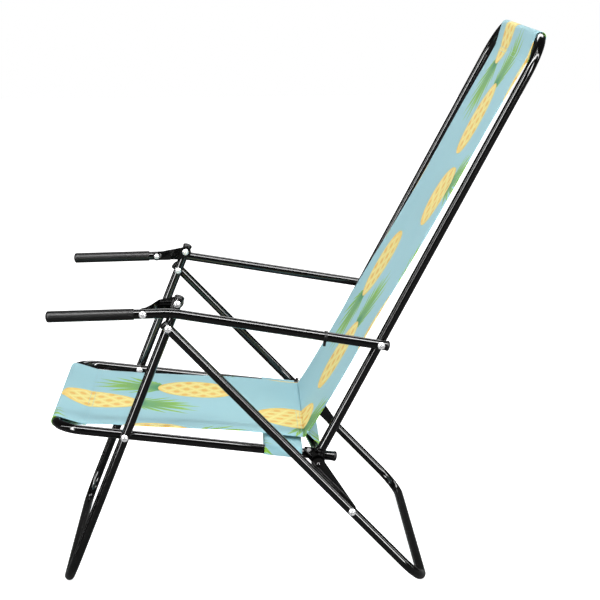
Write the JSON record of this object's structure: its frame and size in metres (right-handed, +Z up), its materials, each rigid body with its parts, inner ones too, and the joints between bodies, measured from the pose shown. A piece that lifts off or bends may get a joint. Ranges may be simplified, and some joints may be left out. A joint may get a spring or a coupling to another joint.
{
  "type": "folding beach chair",
  "caption": "Low folding armchair with a bent steel tube frame, a printed one-piece sling, straight armrests with grips and a multi-bar fold.",
  "frame": {"origin": "on the ground, centred between the side frames and between the foremost and rearmost points", "axes": "+X to the sitter's left, +Y to the back of the chair, +Z up"},
  "size_m": [0.5814, 0.8232, 0.9143],
  "materials": {
    "frame_black": "glossy powder coat",
    "rivet_steel": "bright zinc",
    "black_plastic": "matte",
    "sling_fabric": "woven, printed"
  },
  "bodies": {
    "seat": {"seat_rail": "frame_black", "seat_rail_plugs": "black_plastic", "cross_tube": "frame_black", "hip_brackets": "frame_black", "bracket_rivets": "rivet_steel", "sling_seat": "sling_fabric", "seat_strap": "sling_fabric", "tail_flap": "sling_fabric"},
    "backrest": {"back_tube": "frame_black", "hip_rivets": "frame_black", "arm_rear_rivets": "rivet_steel", "arm_rear_spacers": "black_plastic", "sling_back": "sling_fabric", "sling_lower_back": "sling_fabric"},
    "front_legs": {"front_leg": "frame_black", "front_leg_caps": "black_plastic", "seat_pivot_rivets": "rivet_steel", "seat_pivot_washers": "rivet_steel", "arm_pivot_rivets": "rivet_steel", "rear_pivot_rivets": "rivet_steel", "rear_pivot_spacers": "black_plastic"},
    "rear_legs": {"rear_leg": "frame_black", "rear_leg_caps": "black_plastic", "link_rivets": "rivet_steel"},
    "arm_left": {"armrest_left": "frame_black", "grip_left": "black_plastic", "armrest_cap_left": "black_plastic", "arm_front_rivet_left": "rivet_steel", "tie_band": "black_plastic"},
    "plate_left": {"arm_plate_left": "frame_black", "plate_rivet_left": "rivet_steel"},
    "link_left": {"link_left": "frame_black", "link_stud_left": "rivet_steel"},
    "arm_right": {"armrest_right": "frame_black", "grip_right": "black_plastic", "armrest_cap_right": "black_plastic", "arm_front_rivet_right": "rivet_steel"},
    "plate_right": {"arm_plate_right": "frame_black", "plate_rivet_right": "rivet_steel"},
    "link_right": {"link_right": "frame_black", "link_stud_right": "rivet_steel"}
  },
  "joints": [
    {"name": "backrest_fold", "type": "hinge", "parent": "seat", "child": "backrest", "pos_m": [0, 0.0341, 0.21], "axis": [1, 0, 0], "range_deg": [0, 97], "deforming": ["sling_lower_back"]},
    {"name": "front_leg_fold", "type": "hinge", "parent": "seat", "child": "front_legs", "pos_m": [0, -0.28496, 0.25914], "axis": [1, 0, 0], "range_deg": [0, 92.02]},
    {"name": "rear_leg_fold", "type": "hinge", "parent": "front_legs", "child": "rear_legs", "pos_m": [0, -0.20894, 0.44647], "axis": [1, 0, 0], "range_deg": [-61.81, 0]},
    {"name": "arm_fold_left", "type": "hinge", "parent": "backrest", "child": "arm_left", "pos_m": [0, 0.1367, 0.4144], "axis": [1, 0, 0], "range_deg": [-100.02, 0]},
    {"name": "plate_fold_left", "type": "hinge", "parent": "front_legs", "child": "plate_left", "pos_m": [0, -0.1942, 0.4828], "axis": [1, 0, 0], "range_deg": [-126.54, 0]},
    {"name": "link_fold_left", "type": "hinge", "parent": "seat", "child": "link_left", "pos_m": [0, 0.0341, 0.21], "axis": [1, 0, 0], "range_deg": [-124.43, 0]},
    {"name": "arm_fold_right", "type": "hinge", "parent": "backrest", "child": "arm_right", "pos_m": [0, 0.1367, 0.4144], "axis": [1, 0, 0], "range_deg": [-100.02, 0]},
    {"name": "plate_fold_right", "type": "hinge", "parent": "front_legs", "child": "plate_right", "pos_m": [0, -0.1942, 0.4828], "axis": [1, 0, 0], "range_deg": [-126.54, 0]},
    {"name": "link_fold_right", "type": "hinge", "parent": "seat", "child": "link_right", "pos_m": [0, 0.0341, 0.21], "axis": [1, 0, 0], "range_deg": [-124.43, 0]}
  ],
  "couplings": [
    {"joint": "front_leg_fold", "follows": "backrest_fold", "ratio": 0.94845},
    {"joint": "rear_leg_fold", "follows": "backrest_fold", "ratio": -0.63706},
    {"joint": "arm_fold_left", "follows": "backrest_fold", "ratio": -1.0309},
    {"joint": "plate_fold_left", "follows": "backrest_fold", "ratio": -1.3043},
    {"joint": "link_fold_left", "follows": "backrest_fold", "ratio": -1.2826},
    {"joint": "arm_fold_right", "follows": "backrest_fold", "ratio": -1.0309},
    {"joint": "plate_fold_right", "follows": "backrest_fold", "ratio": -1.3043},
    {"joint": "link_fold_right", "follows": "backrest_fold", "ratio": -1.2826}
  ]
}
